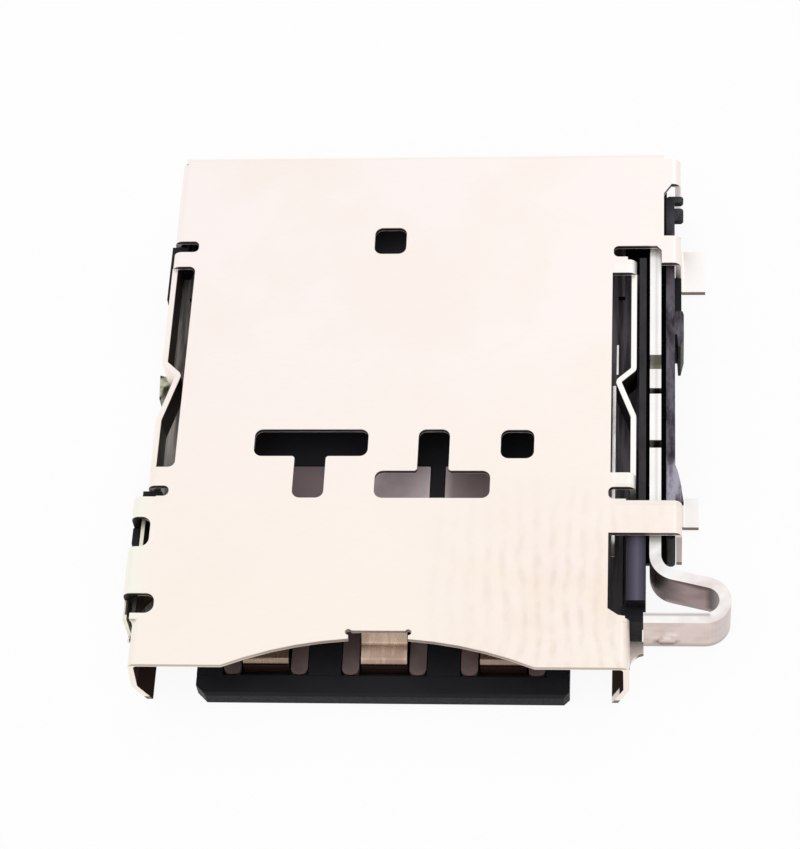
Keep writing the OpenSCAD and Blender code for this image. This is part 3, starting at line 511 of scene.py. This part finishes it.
def prism(name, outline, low, high, edge_break):
    """An upright block over an outline, with its edges broken."""
    bm = bmesh.new()
    foot = bm.faces.new([bm.verts.new((x * MM, y * MM, low * MM)) for x, y in outline])
    made = bmesh.ops.extrude_face_region(bm, geom=[foot])["geom"]
    raised = [v for v in made if isinstance(v, bmesh.types.BMVert)]
    bmesh.ops.translate(bm, vec=(0, 0, (high - low) * MM), verts=raised)
    bmesh.ops.recalc_face_normals(bm, faces=bm.faces)
    bmesh.ops.bevel(bm, geom=bm.edges[:], offset=edge_break * MM, segments=2, profile=0.6,
                    affect="EDGES")
    mesh = bpy.data.meshes.new(name)
    bm.to_mesh(mesh)
    bm.free()
    obj = bpy.data.objects.new(name, mesh)
    bpy.context.scene.collection.objects.link(obj)
    return obj


def seat(piece, look):
    """Fix a detail on the socket's body, with its look."""
    piece.data.materials.append(look)
    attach(piece, "socket")


def add_details(looks):
    edge = bright_edge()
    # Bright strips: a painted highlight along the edge of the right slot's floor
    for name, (left, right, front, back) in STRIPS.items():
        outline = ((left, front), (right, front), (right, back), (left, back))
        strip = prism(name, outline, TRAY_FLOOR - STRIP_SUNK, TRAY_FLOOR + STRIP_PROUD, STRIP_BREAK)
        seat(strip, edge)
    lug = prism("notch_lug", LUG, BLOCK_FOOT, LUG_TOP, BLOCK_BREAK)
    seat(lug, looks["base_moulding"])
    stop = prism("spring_stop", STOP, BLOCK_FOOT, TRAY_FLOOR, BLOCK_BREAK)
    seat(stop, mottled_stop())


# Stage, in metres and watts

FLOOR_SIZE = 4
# Just under the board plane, so that the floor doesn't fight with the underside
FLOOR_Z = -0.01 * MM
FLOOR_COLOUR = (0.86, 0.85, 0.84, 1)
# Share of plain white in what the camera and reflections see of the floor. The rest keeps shadows.
FLOOR_GLOW = 0.92
WHITE = (1, 1, 1, 1)
WORLD_STRENGTH = 0.935
# Place, width and power of each lamp. They aim at the origin.
LAMPS = {"key": ((-0.12, -0.10, 0.30), 0.24, 0.075), "back": ((0.10, 0.22, 0.22), 0.12, 0.04)}


def floor_look():
    """Pale floor that the camera and reflections see as nearly white."""
    n = Nodes("floor_look")
    n.set(Base_Color=FLOOR_COLOUR, Roughness=0.9, Specular_IOR_Level=0.1)
    glow = n.add("ShaderNodeEmission", {"Color": WHITE, "Strength": 1.0})
    rays = n.add("ShaderNodeLightPath").outputs
    seen = n.either(rays["Is Camera Ray"], rays["Is Glossy Ray"], rays["Is Transmission Ray"])
    both = n.add("ShaderNodeMixShader", {"Fac": n.every(seen, FLOOR_GLOW)})
    n.put(both.inputs[1], n.shader.outputs["BSDF"])
    n.put(both.inputs[2], glow.outputs["Emission"])
    n.put(n.tree.nodes["Material Output"].inputs["Surface"], both.outputs["Shader"])
    return n.mat


def add_floor():
    bpy.ops.mesh.primitive_plane_add(size=FLOOR_SIZE, location=(0, 0, FLOOR_Z))
    floor = bpy.context.object
    floor.name = "floor"
    floor.data.materials.append(floor_look())


def add_light(name, place, size, watts):
    data = bpy.data.lights.new(name, "AREA")
    data.shape = "DISK"
    data.size = size
    data.energy = watts
    lamp = bpy.data.objects.new(name, data)
    lamp.location = place
    lamp.rotation_euler = (-Vector(place)).to_track_quat("-Z", "Y").to_euler()
    bpy.context.scene.collection.objects.link(lamp)


def add_lights():
    world = bpy.data.worlds.new("world")
    bpy.context.scene.world = world
    world.use_nodes = True
    sky = world.node_tree.nodes["Background"].inputs
    sky["Color"].default_value = WHITE
    sky["Strength"].default_value = WORLD_STRENGTH
    for name, (place, size, watts) in LAMPS.items():
        add_light(name, place, size, watts)


add_camera()
add_details(dress())
add_floor()
add_lights()
bpy.context.scene.view_settings.view_transform = "Standard"
